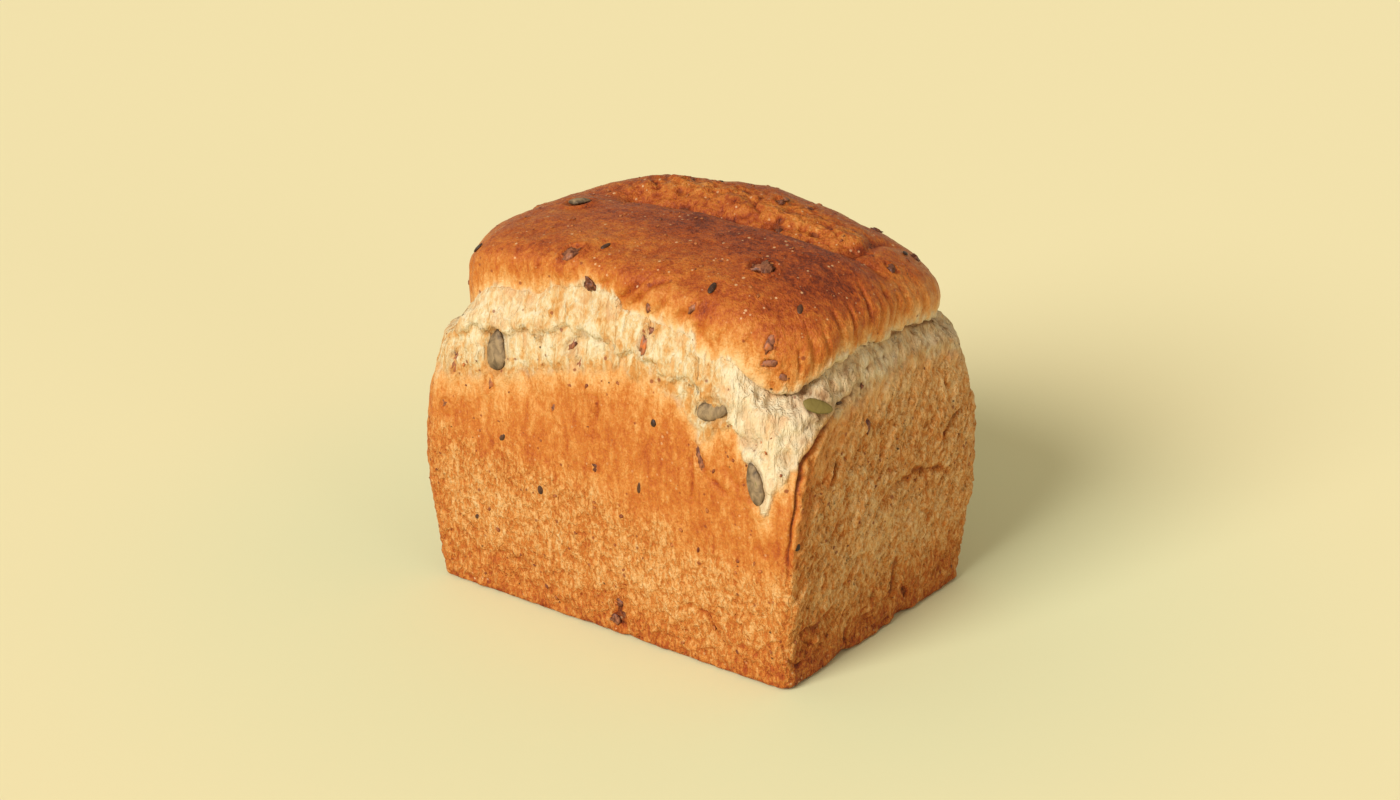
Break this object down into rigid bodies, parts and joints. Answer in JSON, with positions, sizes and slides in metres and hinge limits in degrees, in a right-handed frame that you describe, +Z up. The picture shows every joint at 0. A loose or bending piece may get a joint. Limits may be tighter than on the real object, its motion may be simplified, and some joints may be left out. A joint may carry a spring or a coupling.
{
  "type": "seeded tin loaf",
  "caption": "Small seeded loaf of bread baked in an open tin, with a domed two-roll crown over a torn pale band and flat-sided walls, resting on its flat underside.",
  "frame": {"origin": "middle of the flat underside, at the surface the loaf rests on", "axes": "+X along the loaf's long side, +Y across it, +Z up; the widest tear is at the +X -Y corner"},
  "size_m": [0.155, 0.115, 0.1336],
  "materials": {
    "crust": "matte baked crust, satin on the crown"
  },
  "bodies": {
    "root": {"loaf": "crust"}
  },
  "joints": []
}
